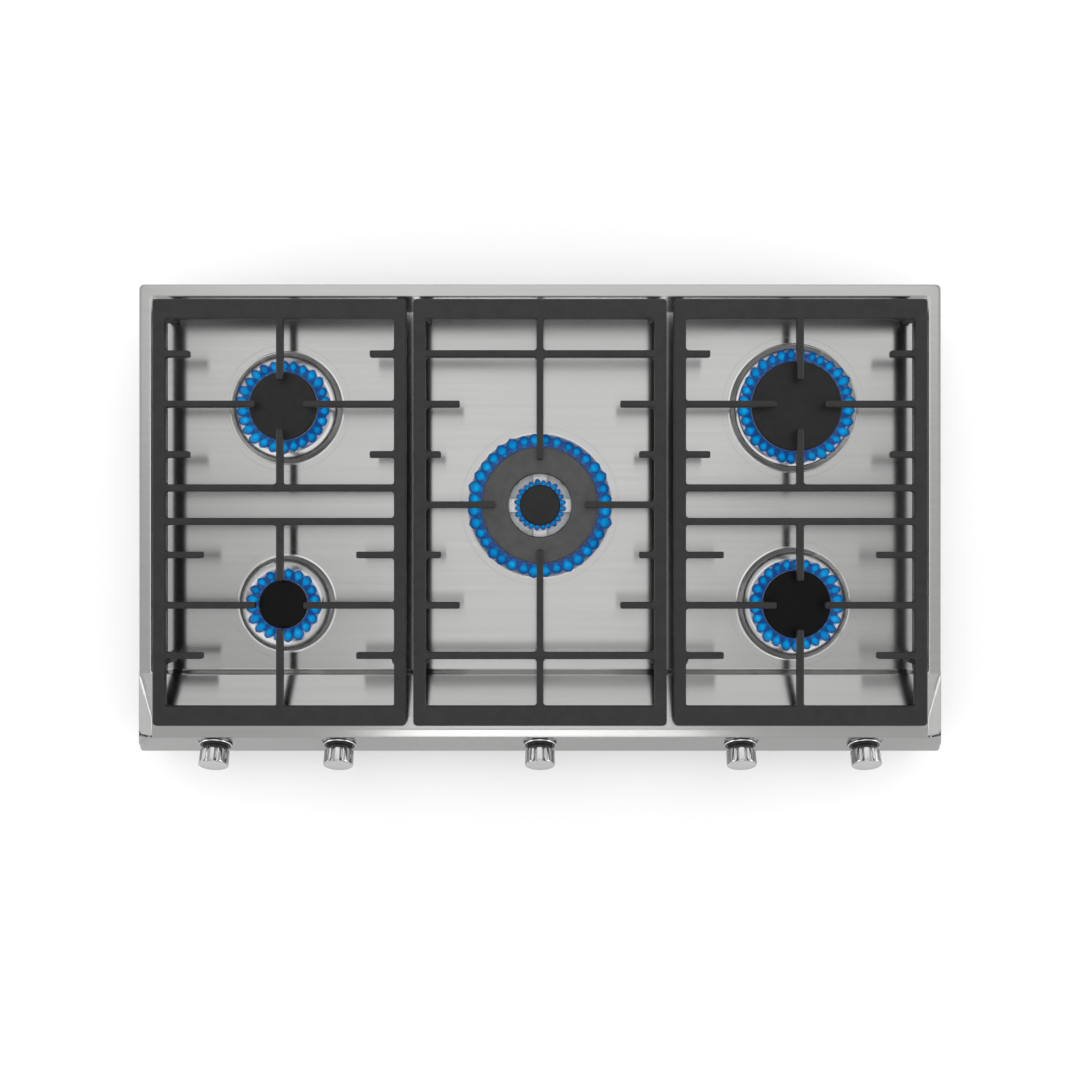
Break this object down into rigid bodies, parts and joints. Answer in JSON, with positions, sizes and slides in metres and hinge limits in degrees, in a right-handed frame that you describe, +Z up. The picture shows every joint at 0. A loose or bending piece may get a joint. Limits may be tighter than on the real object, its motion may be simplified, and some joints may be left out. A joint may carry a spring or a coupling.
{
  "type": "gas rangetop",
  "caption": "Wide stainless gas rangetop with cast-iron grates, capped burners, a raised front ledge and turning push-in knobs on a leaning control panel.",
  "frame": {"origin": "on the axis of the centre burner, on the underside of the burner box", "axes": "+X to the right across the rangetop's width, +Y to the rear (wall side), +Z up; the control panel faces -Y"},
  "size_m": [0.922, 0.5524, 0.137],
  "materials": {
    "stainless_top": "satin",
    "stainless_panel": "satin",
    "galvanised_box": "matte",
    "galvanised_bracket": "matte",
    "zinc_pipe": "satin",
    "die_cast": "matte",
    "brass": "satin",
    "valve_alloy": "matte",
    "chrome_bezel": "polished",
    "aluminium_tube": "satin",
    "brass_jet": "satin",
    "cast_aluminium": "matte",
    "ceramic": "satin",
    "black_plastic": "matte",
    "lead_sleeve": "matte",
    "switch_plastic": "matte",
    "zinc_clip": "satin",
    "steel_stud": "satin",
    "zinc_nut": "satin",
    "zinc_screw": "satin",
    "foam_rubber": "matte",
    "gland_plastic": "matte",
    "cast_iron": "matte",
    "foot_rubber": "matte",
    "burner_head": "satin",
    "black_enamel": "satin",
    "brass_plug": "satin",
    "steel_stem": "satin",
    "black_collar": "satin",
    "chrome_knob": "polished"
  },
  "bodies": {
    "rangetop": {"cooktop_pan": "stainless_top", "control_fascia": "stainless_panel", "burner_box": "galvanised_box", "manifold_brackets": "galvanised_bracket", "gas_manifold": "zinc_pipe", "pressure_regulator": "die_cast", "inlet_elbow": "brass", "gas_valves": "valve_alloy", "knob_bezels": "chrome_bezel", "gas_tubes": "aluminium_tube", "injectors": "brass_jet", "burner_bases": "cast_aluminium", "spark_electrodes": "ceramic", "spark_module": "black_plastic", "ignition_leads": "lead_sleeve", "ignition_switches": "switch_plastic", "hold_down_clips": "zinc_clip", "box_studs": "steel_stud", "stud_nuts": "zinc_nut", "fascia_screws": "zinc_screw", "burner_screws": "zinc_screw", "flange_seal": "foam_rubber", "power_inlet": "gland_plastic"},
    "grate_left": {"grate_left": "cast_iron", "feet_left": "foot_rubber"},
    "grate_centre": {"grate_centre": "cast_iron", "feet_centre": "foot_rubber"},
    "grate_right": {"grate_right": "cast_iron", "feet_right": "foot_rubber"},
    "head_left_front": {"head_left_front": "burner_head"},
    "cap_left_front": {"cap_left_front": "black_enamel"},
    "head_left_rear": {"head_left_rear": "burner_head"},
    "cap_left_rear": {"cap_left_rear": "black_enamel"},
    "head_centre": {"head_centre": "burner_head"},
    "cap_centre_ring": {"cap_centre_ring": "black_enamel"},
    "cap_centre_core": {"cap_centre_core": "black_enamel"},
    "head_right_front": {"head_right_front": "burner_head"},
    "cap_right_front": {"cap_right_front": "black_enamel"},
    "head_right_rear": {"head_right_rear": "burner_head"},
    "cap_right_rear": {"cap_right_rear": "black_enamel"},
    "valve_1": {"plug_1": "brass_plug"},
    "knob_1": {"stem_1": "steel_stem", "knob_core_1": "black_collar", "knob_shell_1": "chrome_knob"},
    "valve_2": {"plug_2": "brass_plug"},
    "knob_2": {"stem_2": "steel_stem", "knob_core_2": "black_collar", "knob_shell_2": "chrome_knob"},
    "valve_3": {"plug_3": "brass_plug"},
    "knob_3": {"stem_3": "steel_stem", "knob_core_3": "black_collar", "knob_shell_3": "chrome_knob"},
    "valve_4": {"plug_4": "brass_plug"},
    "knob_4": {"stem_4": "steel_stem", "knob_core_4": "black_collar", "knob_shell_4": "chrome_knob"},
    "valve_5": {"plug_5": "brass_plug"},
    "knob_5": {"stem_5": "steel_stem", "knob_core_5": "black_collar", "knob_shell_5": "chrome_knob"}
  },
  "joints": [
    {"name": "grate_left_lift", "type": "slide", "parent": "rangetop", "child": "grate_left", "axis": [0, 0, 1], "range_m": [0, 0.1]},
    {"name": "grate_centre_lift", "type": "slide", "parent": "rangetop", "child": "grate_centre", "axis": [0, 0, 1], "range_m": [0, 0.1]},
    {"name": "grate_right_lift", "type": "slide", "parent": "rangetop", "child": "grate_right", "axis": [0, 0, 1], "range_m": [0, 0.1]},
    {"name": "head_left_front_lift", "type": "slide", "parent": "rangetop", "child": "head_left_front", "axis": [0, 0, 1], "range_m": [0, 0.006]},
    {"name": "cap_left_front_lift", "type": "slide", "parent": "head_left_front", "child": "cap_left_front", "axis": [0, 0, 1], "range_m": [0, 0.006]},
    {"name": "head_left_rear_lift", "type": "slide", "parent": "rangetop", "child": "head_left_rear", "axis": [0, 0, 1], "range_m": [0, 0.006]},
    {"name": "cap_left_rear_lift", "type": "slide", "parent": "head_left_rear", "child": "cap_left_rear", "axis": [0, 0, 1], "range_m": [0, 0.006]},
    {"name": "head_centre_lift", "type": "slide", "parent": "rangetop", "child": "head_centre", "axis": [0, 0, 1], "range_m": [0, 0.006]},
    {"name": "cap_centre_ring_lift", "type": "slide", "parent": "head_centre", "child": "cap_centre_ring", "axis": [0, 0, 1], "range_m": [0, 0.006]},
    {"name": "cap_centre_core_lift", "type": "slide", "parent": "head_centre", "child": "cap_centre_core", "axis": [0, 0, 1], "range_m": [0, 0.006]},
    {"name": "head_right_front_lift", "type": "slide", "parent": "rangetop", "child": "head_right_front", "axis": [0, 0, 1], "range_m": [0, 0.006]},
    {"name": "cap_right_front_lift", "type": "slide", "parent": "head_right_front", "child": "cap_right_front", "axis": [0, 0, 1], "range_m": [0, 0.006]},
    {"name": "head_right_rear_lift", "type": "slide", "parent": "rangetop", "child": "head_right_rear", "axis": [0, 0, 1], "range_m": [0, 0.006]},
    {"name": "cap_right_rear_lift", "type": "slide", "parent": "head_right_rear", "child": "cap_right_rear", "axis": [0, 0, 1], "range_m": [0, 0.006]},
    {"name": "knob_1_turn", "type": "hinge", "parent": "rangetop", "child": "valve_1", "pos_m": [-0.369, -0.27132, 0.1005], "axis": [0, -0.8829, 0.4695], "range_deg": [-90, 120]},
    {"name": "knob_1_push", "type": "slide", "parent": "valve_1", "child": "knob_1", "axis": [0, 0.8829, -0.4695], "range_m": [0, 0.003], "stiffness_N_per_m": 900, "springref_m": -0.004},
    {"name": "knob_2_turn", "type": "hinge", "parent": "rangetop", "child": "valve_2", "pos_m": [-0.228, -0.27132, 0.1005], "axis": [0, -0.8829, 0.4695], "range_deg": [-90, 120]},
    {"name": "knob_2_push", "type": "slide", "parent": "valve_2", "child": "knob_2", "axis": [0, 0.8829, -0.4695], "range_m": [0, 0.003], "stiffness_N_per_m": 900, "springref_m": -0.004},
    {"name": "knob_3_turn", "type": "hinge", "parent": "rangetop", "child": "valve_3", "pos_m": [0, -0.27132, 0.1005], "axis": [0, -0.8829, 0.4695], "range_deg": [-90, 120]},
    {"name": "knob_3_push", "type": "slide", "parent": "valve_3", "child": "knob_3", "axis": [0, 0.8829, -0.4695], "range_m": [0, 0.003], "stiffness_N_per_m": 900, "springref_m": -0.004},
    {"name": "knob_4_turn", "type": "hinge", "parent": "rangetop", "child": "valve_4", "pos_m": [0.228, -0.27132, 0.1005], "axis": [0, -0.8829, 0.4695], "range_deg": [-90, 120]},
    {"name": "knob_4_push", "type": "slide", "parent": "valve_4", "child": "knob_4", "axis": [0, 0.8829, -0.4695], "range_m": [0, 0.003], "stiffness_N_per_m": 900, "springref_m": -0.004},
    {"name": "knob_5_turn", "type": "hinge", "parent": "rangetop", "child": "valve_5", "pos_m": [0.369, -0.27132, 0.1005], "axis": [0, -0.8829, 0.4695], "range_deg": [-90, 120]},
    {"name": "knob_5_push", "type": "slide", "parent": "valve_5", "child": "knob_5", "axis": [0, 0.8829, -0.4695], "range_m": [0, 0.003], "stiffness_N_per_m": 900, "springref_m": -0.004}
  ]
}
